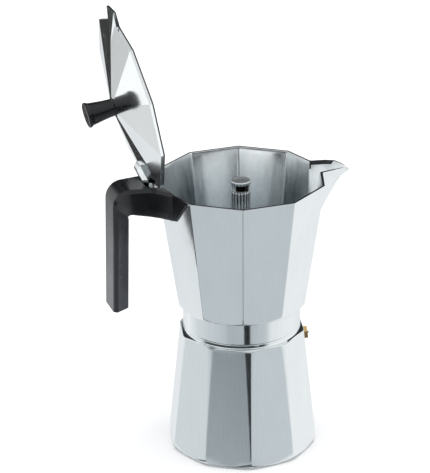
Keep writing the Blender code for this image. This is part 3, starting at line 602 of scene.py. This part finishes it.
def inner_level(z):
    """Outline of the collector's inside at a height, with the spout's channel."""
    radius = facet_radius(z) - WALL / FLAT_RATIO
    up = max(0.0, (z - CHANNEL_LOW) / (RIM_Z - CHANNEL_LOW))
    half = 0.5 * MM + 9.9 * MM * up ** 0.85
    root_out = facet_radius(z) - half * TAN_SIDE - 0.3 * MM
    nose = keel_x(z) - 1.6 * BEAK_WALL
    ease = min(1.0, up / 0.12)
    mouth = radius - half * TAN_SIDE
    root = mouth + (root_out - mouth) * ease
    nose = radius - 0.15 * MM + (nose - radius + 0.15 * MM) * ease
    bend = root + 0.78 * (nose - root)
    side = spout_side(root, bend, nose, half)
    corners = [(nose, 0, 1.4 * MM)] + [(x, y, 0) for x, y in side] + [(mouth - 0.2 * MM, half, 0.7 * MM)]
    for i in range(1, SIDES):
        angle = i * SIDE_ANGLE
        corners.append((radius * math.cos(angle), radius * math.sin(angle), 2.2 * MM))
    corners += [(mouth - 0.2 * MM, -half, 0.7 * MM)] + [(x, -y, 0) for x, y in reversed(side)]
    return rounded(corners)


def wall_levels(level, low, fractions):
    """Rings from a height up to the rim, each column ending where the rim cuts it."""
    columns = len(level(low))
    tops = []
    for j in range(columns):
        z = RIM_Z
        for _ in range(12):
            z = 0.5 * (z + rim_height(level(z)[j].x))
        tops.append(z)
    rings = []
    for share in fractions:
        ring = []
        for j, top in enumerate(tops):
            z = low + (top - low) * share
            point = level(z)[j]
            ring.append(Vector((point.x, point.y, z)))
        rings.append(ring)
    return rings


def heel_limit(z):
    """Turned envelope of the rounded heel under the cup."""
    if z < 113.1 * MM:
        return 41.8 * MM + math.sqrt(max(0.0, HEEL_R ** 2 - (z - 113.1 * MM) ** 2))
    if z < 117 * MM:
        return 46.8 * MM + 1.1 * MM * (z - 113.1 * MM) / (3.9 * MM)
    return 47.9 * MM + 18.1 * MM * (z - 117 * MM) / (8 * MM)


def collector_rings():
    """Levels from the collar up the outside, over the rim, down the inside and back under the floor."""
    low = 124 * MM
    foot = outer_level(low)
    collar = [(36.45, 93.0), (36.8, 92.55), (37.2, 92.4), (41.05, 92.4), (41.3, 92.5), (41.39, 92.7),
              (41.4, 92.9), (41.4, 93.2), (41.4, 100.0), (41.4, 107.3), (41.4, 107.6), (41.45, 107.85),
              (41.6, 108.02), (42.4, 108.13)]
    rings = [on_circle(foot, r * MM, z * MM) for r, z in collar]
    heel = [108.25, 108.5, 108.8, 109.2, 109.7, 110.3, 111, 111.7, 112.4, 113.1, 113.8, 114.5, 115.5, 117,
            119, 121]
    for z in heel:
        rings.append(pulled_in(outer_level(z * MM), heel_limit(z * MM), z * MM, 0.45 * MM))
    steps = [i / 18 for i in range(18)] + [0.975]
    outer = wall_levels(outer_level, low, steps + [0.992, 1.0])
    inner = wall_levels(inner_level, FLOOR_Z + 2.5 * MM, [i / 16 for i in range(16)] + [0.97, 0.99, 1.0])
    rings += [[tuple(p) for p in ring] for ring in outer[:-1]]
    lip = [(0.0, 0.42), (0.05, 0.16), (0.14, 0.03), (0.26, 0.0), (0.5, 0.0), (0.74, 0.0), (0.86, 0.03),
           (0.95, 0.16), (1.0, 0.42)]
    for share, drop in lip:
        ring = []
        for a, b in zip(outer[-1], inner[-1]):
            point = a.lerp(b, share)
            ring.append((point.x, point.y, rim_height(point.x) - drop * MM))
        rings.append(ring)
    rings += [[tuple(p) for p in ring] for ring in reversed(inner[:-2])]
    floor = inner_level(FLOOR_Z)
    for inset, rise in ((0.15, 1.6), (0.7, 0.75), (1.7, 0.15), (3.0, 0.0)):
        ring = []
        for p in floor:
            scale = 1 - inset * MM / p.length
            ring.append((p.x * scale, p.y * scale, FLOOR_Z + rise * MM))
        rings.append(ring)
    boss = [(30, 113.4), (20, 113.4), (13.2, 113.4), (12.2, 113.55), (11.5, 114.2), (9.9, 116.6),
            (9.3, 117.9), (8.8, 118.6), (8.1, 119.0), (5.8, 119.0), (5.5, 118.7)]
    underneath = [(5.5, 111.1), (6.2, 110.9), (26.6, 108.75), (27.2, 108.7), (35.1, 108.7), (35.4, 108.4),
                  (35.4, 104.2), (36.3, 103.7), (36.4, 103.4)]
    return rings + [on_circle(floor, r * MM, z * MM) for r, z in boss + underneath]


def plate(name, outline, y_low, y_high, width):
    """Cast part of the collector: an outline of (x, z) points made solid in Y, with rounded edges."""
    bm = bmesh.new()
    face = bm.faces.new([bm.verts.new((x * MM, y_low * MM, z * MM)) for x, z in outline])
    moved = bmesh.ops.extrude_face_region(bm, geom=[face])["geom"]
    verts = [item for item in moved if isinstance(item, bmesh.types.BMVert)]
    bmesh.ops.translate(bm, verts=verts, vec=(0, (y_high - y_low) * MM, 0))
    obj = add_mesh(name, bm, ALUMINIUM, "collector_body", ["collector"])
    bevel = obj.modifiers.new("edges", "BEVEL")
    bevel.width = width * MM
    bevel.segments = 3
    bevel.limit_method = "ANGLE"
    bevel.angle_limit = math.radians(40)
    shade = obj.modifiers.new("shading", "WEIGHTED_NORMAL")
    shade.keep_sharp = False


def collector_finish(face):
    """Material index of a face: 0 polished outside, 1 satin inside, 2 dull rim coloured near black as a
    painted dark reflection, and painted shade on the inside of the spout's far flank under its rim.
    """
    center, normal = face.center, face.normal
    angle = math.atan2(center.y, center.x)
    turn = (angle + SIDE_ANGLE / 2) % SIDE_ANGLE - SIDE_ANGLE / 2
    reach = facet_radius(center.z) - 0.9 * MM
    flat = reach * FLAT_RATIO / math.cos(abs(turn) - SIDE_ANGLE / 2)
    edge = 0.12 * MM
    # the inside of the spout's far flank gets a deeper band of painted shade under its rim
    if center.x > 50 * MM and center.y > 0.6 * MM and normal.y < -0.25 and normal.x > -0.6:
        edge = 1.9 * MM if center.x > SPOUT_ROOT + 1 * MM else 4.4 * MM
    if center.z > rim_height(center.x) - edge and center.z > 180 * MM:
        return 2
    in_cup = center.z > FLOOR_Z - 1 * MM and math.hypot(center.x, center.y) < flat - 0.4 * MM
    inward = normal.x * center.x + normal.y * center.y < 0
    return 1 if in_cup or (center.z > 150 * MM and inward) else 0


def make_collector():
    """Cup with its collar and spout, hinge ears, handle lug and thread."""
    bm = skin(collector_rings(), closed=True)
    obj = add_mesh("collector_shell", bm, ALUMINIUM, "collector_body", ["collector"])
    obj.data.materials.append(INSIDE)
    obj.data.materials.append(DULL_EDGE_AND_PAINTED_SHADE)
    for face in obj.data.polygons:
        face.material_index = collector_finish(face)
    ear = [(-56.4, 199.3), (-65.6, 199.3)]
    for i in range(15):
        angle = math.radians(-112 - i * 256 / 14)
        ear.append((-64.7 + 3.2 * math.cos(angle), 202.9 + 3.2 * math.sin(angle)))
    ear += [(-61.2, 200.9), (-56.4, 200.9)]
    for side in ("left", "right"):
        low, high = (4.3, 8.3) if side == "left" else (-8.3, -4.3)
        plate("hinge_ear_" + side, ear, low, high, 0.35)
    lug = [(-57.2, 190.0), (-68.0, 190.0), (-68.0, 196.9), (-57.2, 196.9)]
    plate("handle_lug", lug, -6, 6, 0.5)
    thread = thread_bm(36.8 * MM, 35.0 * MM, 96.1 * MM, 2.0)
    add_mesh("collector_thread", thread, ALUMINIUM, "collector_body", ["collector"])


# ---------------------------------------------------------------- column

def fluted(radius, depth, z):
    """A level of the column, with flutes of a depth between its ribs."""
    count = 12 * RIBS
    ring = []
    for i in range(count):
        angle = 2 * math.pi * i / count
        wave = abs(math.cos(RIBS / 2 * angle))
        r = radius - depth * (1 - wave ** 0.8)
        ring.append((r * math.cos(angle), r * math.sin(angle), z))
    return ring


def make_column():
    """Tapering ribbed column with its bore."""
    low, high = 119.3, 191.2
    foot = [(5.0, 118.9, 0), (6.3, low, 0.2), (7.1, low + 0.05, 0.5), (7.35, low + 0.4, 0.55)]
    shaft = [(7.4 - 0.8 * i / 12, low + 0.4 + (high - 3.4 - low) * i / 12, 0.55) for i in range(1, 12)]
    head = [(6.6, 190.2, 0.55), (6.6, 190.45, 0.3), (6.6, 190.6, 0.08), (6.6, 190.75, 0), (6.6, 190.95, 0),
            (6.4, 191.15, 0), (6.1, high, 0), (5.0, high, 0)]
    bore = [(5.0, 186, 0), (3.4, 184.4, 0), (3.4, 111.6, 0), (5.2, 111.6, 0), (5.2, 118.5, 0)]
    rings = [fluted(r * MM, depth * MM, z * MM) for r, z, depth in foot + shaft + head + bore]
    add_mesh("column_fluted", skin(rings, closed=True), RIBBED, "collector_body",
             ["column"])
    make_cap()


def make_cap():
    """Crown of the column: a dished top over two side windows."""
    side = [(6.25, 191.5, 0), (6.5, 191.6, 0), (6.6, 191.85, 0), (6.6, 192.3, 0), (6.6, 192.6, 0.3),
            (6.6, 193.0, 0.5), (6.6, 196.9, 0.5), (6.6, 197.3, 0.3), (6.6, 197.6, 0), (6.6, 198.5, 0)]
    top = [(6.52, 198.85, 0), (6.3, 199.0, 0), (6.1, 199.05, 0), (5.75, 199.05, 0), (5.6, 198.95, 0),
           (5.45, 198.6, 0), (5.3, 198.1, 0), (5.0, 197.9, 0), (4.7, 197.85, 0), (1.0, 197.8, 0),
           (0.4, 197.8, 0)]
    hollow = [(0.4, 197.0, 0), (4.9, 197.0, 0), (5.2, 196.7, 0), (5.3, 192.6, 0), (3.6, 192.1, 0),
              (3.6, 186.8, 0), (4.6, 186.8, 0), (4.6, 191.5, 0)]
    bm = skin([fluted(r * MM, depth * MM, z * MM) for r, z, depth in side + top + hollow], closed=True)
    cap = add_mesh("cap_turned", bm, RIBBED, "collector_body", ["column_cap"])
    for material in (PAINTED_HOLLOW_SHADE, ALUMINIUM, DULL):
        cap.data.materials.append(material)
    bpy.ops.mesh.primitive_cube_add(size=1, location=(0, 0, 194.5 * MM), rotation=(0, 0, math.radians(-9)))
    opening = bpy.context.object
    opening.scale = (8.8 * MM, 18 * MM, 4.3 * MM)
    apply_cut(cap, opening)
    for face in cap.data.polygons:
        radius = math.hypot(face.center.x, face.center.y)
        # painted shade: the cap's hollow and the inner sides of its windows are coloured near black
        if radius < 5.5 * MM and face.center.z < 197.3 * MM:
            face.material_index = 1
        elif face.center.z > 197.6 * MM and radius < 5.7 * MM:
            face.material_index = 3
        elif face.center.z > 197.6 * MM or face.center.z < 192.0 * MM:
            face.material_index = 2


# ---------------------------------------------------------------- knob

def make_knob():
    """Flared knob with a bevelled rim, hollow from below for its insert, tipped back with the open lid."""
    low, high = 215.9, 235.3
    profile = [(3.7, low), (5.6, low), (5.9, low + 0.15), (6.0, low + 0.5)]
    for i in range(1, 15):
        t = i / 14
        profile.append((6.0 + 1.8 * t ** 1.5, low + 0.5 + 15.7 * t))
    profile += [(7.95, low + 16.6), (8.25, low + 17.1), (8.6, low + 17.7), (8.7, low + 18.1),
                (8.7, low + 18.6), (8.5, low + 19.1), (8.1, high - 0.1), (7.6, high), (4, high), (0.6, high),
                (0.6, low + 9.4), (3.3, low + 9.4), (3.7, low + 9.1)]
    bm = turned([(r * MM, z * MM) for r, z in profile], 64, closed=True)
    opened = Matrix.Translation(HINGE) @ Matrix.Rotation(-LID_OPEN, 4, "Y") @ Matrix.Translation(-HINGE)
    bm.transform(opened)
    add_mesh("knob_turned", bm, PLASTIC, "lid_body", ["knob"])


# ---------------------------------------------------------------- lid

def make_lid():
    """Lid whose cut edge, the lowest 0.95 mm when it is closed, is dull and coloured near black as a painted
    dark reflection.
    """
    opened = Matrix.Rotation(-LID_OPEN, 3, "Y")
    upward = opened @ Vector((0, 0, 1))
    along = opened @ Vector((1, 0, 0))
    points = [vertex.co for vertex in frame["nodes"]["lid"].data.vertices]
    heights = [upward.dot(point) for point in points if along.dot(point - HINGE) > 20 * MM]
    metal = metal_with_painted_dark_edge("lid_aluminium", (0.86, 0.896, 0.905), (0.81, 0.845, 0.855), 0.085, upward,
                        min(heights) + 0.95 * MM)
    refined("lid", metal, 0.3 * MM, angle=6.5, segments=2)


# ---------------------------------------------------------------- the other pieces

def repaint(node, material):
    """A CAD piece whose shape is right keeps it and gets its finish."""
    obj = frame["nodes"][node]
    obj.data.materials.clear()
    obj.data.materials.append(material)


def make_pieces():
    make_boiler()
    make_collector()
    make_column()
    make_knob()
    refined("handle", GRIP, 0.45 * MM, angle=18, segments=3)
    make_lid()
    refined("valve_body", BRASS, 0.3 * MM, angle=25)
    refined("hinge_pin", STEEL, 0.25 * MM, angle=40)
    refined("handle_screw", STEEL, 0.2 * MM, angle=40)
    repaint("valve_pin", STEEL)
    repaint("valve_spring", STEEL)
    repaint("valve_seal", RUBBER)
    repaint("valve_retainer", BRASS)
    repaint("gasket", RUBBER)
    repaint("funnel", TURNED)
    repaint("funnel_plate", TURNED)
    repaint("filter_plate", TURNED)
    repaint("knob_insert", BRASS)
    repaint("knob_screw", STEEL)


# ---------------------------------------------------------------- studio

def add_floor():
    """Plain pale floor, just under the pot."""
    bm = bmesh.new()
    bmesh.ops.create_circle(bm, cap_ends=True, segments=96, radius=30)
    mesh = bpy.data.meshes.new("floor")
    bm.to_mesh(mesh)
    bm.free()
    floor = bpy.data.objects.new("floor", mesh)
    bpy.context.scene.collection.objects.link(floor)
    floor.location.z = -0.0002
    material = bpy.data.materials.new("pale_floor")
    material.use_nodes = True
    nodes = Nodes(material.node_tree)
    shader = material.node_tree.nodes["Principled BSDF"]
    place = nodes.add("ShaderNodeTexCoord").outputs["Object"]
    cloud = nodes.noise(place, 6, 3)
    nodes.link(nodes.blend(cloud, (0.93, 0.93, 0.93), (0.95, 0.95, 0.95)), shader.inputs["Base Color"])
    shader.inputs["Roughness"].default_value = 0.9
    shader.inputs["Specular IOR Level"].default_value = 0.0
    mesh.materials.append(material)
    floor.visible_glossy = False


# Brightness round the horizon, below and above eye level: (azimuth in degrees, value)
LOW_BAND = [(0, 0.95), (20, 0.92), (45, 0.85), (75, 0.80), (90, 0.84), (110, 0.86), (124, 0.95),
            (136, 0.84), (158, 0.71), (190, 0.64), (212, 0.57), (228, 0.46), (262, 0.50), (292, 0.565),
            (300, 0.61), (309, 0.84), (325, 0.90), (345, 0.94), (360, 0.95)]
HIGH_BAND = [(0, 1.1), (30, 1.0), (70, 0.6), (95, 0.6), (120, 0.9), (165, 1.2), (200, 1.1), (235, 0.7),
             (265, 0.6), (290, 0.85), (330, 1.2), (360, 1.1)]
# Dark and grey things round the set: azimuths, elevations and edge softness in degrees, then brightness
FLAGS = [
    (45, 112, 60, 78, 10, 4, 0.3),              # grey screen high over the far side
    (30, 54, 12, 64, 4, 3, 0.03),               # three black screens on the far side
    (54, 92, 12, 53, 4, 4, 0.03),
    (92, 112, 12, 47, 4, 4, 0.03),
    (256.8, 267.5, -52, -19, 0.8, 2, 0.02),     # narrow black strip on the near side, under the camera
    (214, 240, -17.8, 4, 5, 1.6, 0.32),         # grey screen on the handle side
    (231.5, 280, -19.5, -8, 3, 2, 0.035),       # black strips at table height, near side
    (175, 297, -11, 8, 5, 2.5, 0.05),
    (226, 282, -58, -34.5, 3, 2, 0.03),         # black cloth on the table, near side and handle side
    (150, 198, -58, -35, 3, 2, 0.03),
    (-20, 380, -95, -68, 1, 4, 0.05),           # dark straight below
]


def tinted(value):
    """The darker parts of the surroundings are a little blue."""
    shade = max(0.0, 1 - value)
    return value, value * (1 + 0.15 * shade), value * (1 + 0.26 * shade), 1


def band(nodes, turn, values):
    """Brightness round the horizon as a colour ramp."""
    ramp = nodes.add("ShaderNodeValToRGB", {"Fac": turn})
    stops = ramp.color_ramp.elements
    while len(stops) > 1:
        stops.remove(stops[-1])
    stops[0].position = values[0][0] / 360
    stops[0].color = tinted(values[0][1])
    for azimuth, value in values[1:]:
        stop = stops.new(azimuth / 360)
        stop.color = tinted(value)
    ramp.color_ramp.interpolation = "EASE"
    return ramp.outputs["Color"]


def add_card(name, corners, value):
    """Flat card on the ground that only shows in reflections."""
    bm = bmesh.new()
    bm.faces.new([bm.verts.new((x, y, 0.0004)) for x, y in corners])
    mesh = bpy.data.meshes.new(name)
    bm.to_mesh(mesh)
    bm.free()
    card = bpy.data.objects.new(name, mesh)
    bpy.context.scene.collection.objects.link(card)
    material = bpy.data.materials.new(name)
    material.use_nodes = True
    nodes = Nodes(material.node_tree)
    material.node_tree.nodes.remove(material.node_tree.nodes["Principled BSDF"])
    place = nodes.add("ShaderNodeTexCoord").outputs["Object"]
    cloud = nodes.blend(nodes.noise(place, 3, 2), (value * 0.9,) * 3, (value * 1.1,) * 3)
    glow = nodes.add("ShaderNodeEmission", {"Color": cloud})
    nodes.link(glow.outputs[0], material.node_tree.nodes["Material Output"].inputs["Surface"])
    mesh.materials.append(material)
    for kind in ("camera", "diffuse", "shadow", "transmission", "volume_scatter"):
        setattr(card, "visible_" + kind, False)


def add_cards():
    """Cards round the pot. They lie so low that only the lid, the knob and the handle see them."""
    cards = {
        "black_card": (0.045, [(-0.06, 0.33), (0.0, 0.38), (0.0, 0.49), (-0.04, 0.6), (-0.01, 1.5),
                               (-0.52, 1.5), (-0.44, 1.06), (-0.425, 0.88), (-0.31, 0.79),
                               (-0.16, 0.32)]),
        "black_card_near": (0.02, [(0.0, -0.40), (0.09, -0.40), (0.12, -0.478), (0.0, -0.478)]),
        "white_card": (1.15, [(0.04, -0.485), (0.12, -0.485), (0.22, -0.95), (0.10, -0.95)]),
        "white_card_back": (1.15, [(-0.40, 0.46), (-0.50, 0.46), (-0.60, 0.655), (-0.46, 0.655)]),
        "grey_card": (0.62, [(-0.37, 0.665), (-0.44, 0.665), (-0.56, 0.85), (-0.56, 1.02), (-0.46, 1.02),
                             (-0.43, 0.86)]),
        "light_card": (0.78, [(-0.28, 0.25), (-0.40, 0.25), (-0.39, 0.43), (-0.30, 0.43)]),
    }
    for name, (value, corners) in cards.items():
        add_card(name, corners, value)


def make_world():
    """Soft studio surroundings: pale all round, with a few dark things that metal shows."""
    world = bpy.data.worlds.new("studio")
    bpy.context.scene.world = world
    world.use_nodes = True
    nodes = Nodes(world.node_tree)
    background = world.node_tree.nodes["Background"]
    direction = nodes.add("ShaderNodeTexCoord").outputs["Generated"]
    axis = nodes.add("ShaderNodeSeparateXYZ", {0: direction})
    turn = nodes.math("FRACT", nodes.math("ADD", nodes.math(
        "DIVIDE", nodes.math("ARCTAN2", axis.outputs[1], axis.outputs[0]), 2 * math.pi), 1.0))
    up = nodes.spread(axis.outputs[2], -0.12, 0.12, 0, 1)
    sides = nodes.blend(up, band(nodes, turn, LOW_BAND), band(nodes, turn, HIGH_BAND))
    top = nodes.spread(axis.outputs[2], 0.35, 0.8, 0, 1)
    light = nodes.blend(top, sides, (0.88, 0.88, 0.89))
    azimuth = nodes.math("MULTIPLY", turn, 360.0)
    elevation = nodes.math("MULTIPLY", nodes.math("ARCSINE", axis.outputs[2]), 180 / math.pi)
    for left, right, low, high, soft, soft_up, value in FLAGS:
        mask = nodes.math("MULTIPLY", window(nodes, azimuth, left, right, soft),
                          window(nodes, elevation, low, high, soft_up))
        light = nodes.blend(mask, light, tinted(value)[:3])
    nodes.link(light, background.inputs["Color"])
    background.inputs["Strength"].default_value = 1.0
    world.cycles.sampling_method = "NONE"


def add_light():
    """Large soft light overhead; polished faces don't show it."""
    data = bpy.data.lights.new("overhead", "AREA")
    data.shape = "DISK"
    data.size = 6.0
    data.energy = 285.0
    light = bpy.data.objects.new("overhead", data)
    bpy.context.scene.collection.objects.link(light)
    light.location = (0, 0.4, 6.0)
    light.visible_glossy = False
    light.visible_camera = False


def add_camera():
    """Camera at the photograph's view, turned a little about its own axis."""
    azimuth, elevation, roll = math.radians(251.38), math.radians(23.48), math.radians(-0.643)
    back = Vector((math.cos(azimuth) * math.cos(elevation), math.sin(azimuth) * math.cos(elevation),
                   math.sin(elevation)))
    side = (-back).cross(Vector((0, 0, 1))).normalized()
    top = side.cross(-back)
    right = math.cos(roll) * side + math.sin(roll) * top
    upward = -math.sin(roll) * side + math.cos(roll) * top
    camera = bpy.data.objects.new("camera", bpy.data.cameras.new("camera"))
    bpy.context.scene.collection.objects.link(camera)
    turned_to_pot = Matrix((right, upward, back)).transposed().to_4x4()
    camera.matrix_world = Matrix.Translation((-0.481256, -1.371528, 0.788045)) @ turned_to_pot
    camera.data.lens = 173.13
    camera.data.sensor_width = 36
    camera.data.clip_end = 100
    bpy.context.scene.camera = camera


make_pieces()
add_floor()
add_cards()
make_world()
add_light()
add_camera()
bpy.context.scene.view_settings.view_transform = "Standard"
bpy.context.scene.view_settings.look = "None"
